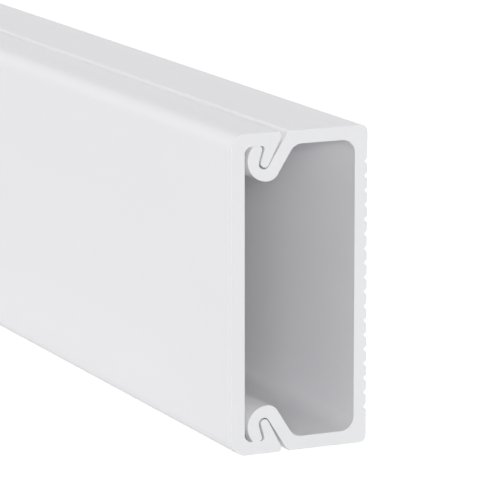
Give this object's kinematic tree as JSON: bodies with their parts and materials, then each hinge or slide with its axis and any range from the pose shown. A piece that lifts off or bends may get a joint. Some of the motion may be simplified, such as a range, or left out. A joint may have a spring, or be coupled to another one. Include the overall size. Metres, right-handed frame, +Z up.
{
  "type": "cord cover raceway",
  "caption": "Cord cover raceway: a hooked base channel with a grooved back for the wall, and a flat clip-in cover whose tongues seat in the hooks.",
  "frame": {"origin": "middle of the footprint of the stick's long lower side, on the surface it stands on", "axes": "+X along the stick, +Y from the cover's front towards the wall side, +Z up across the width of the front"},
  "size_m": [0.4, 0.0184, 0.04],
  "materials": {
    "white_pvc": "satin"
  },
  "bodies": {
    "base": {"base_channel": "white_pvc"},
    "cover": {"snap_cover": "white_pvc"}
  },
  "joints": [
    {"name": "cover_slide", "type": "slide", "parent": "base", "child": "cover", "axis": [1, 0, 0], "range_m": [-0.4, 0.4]}
  ]
}
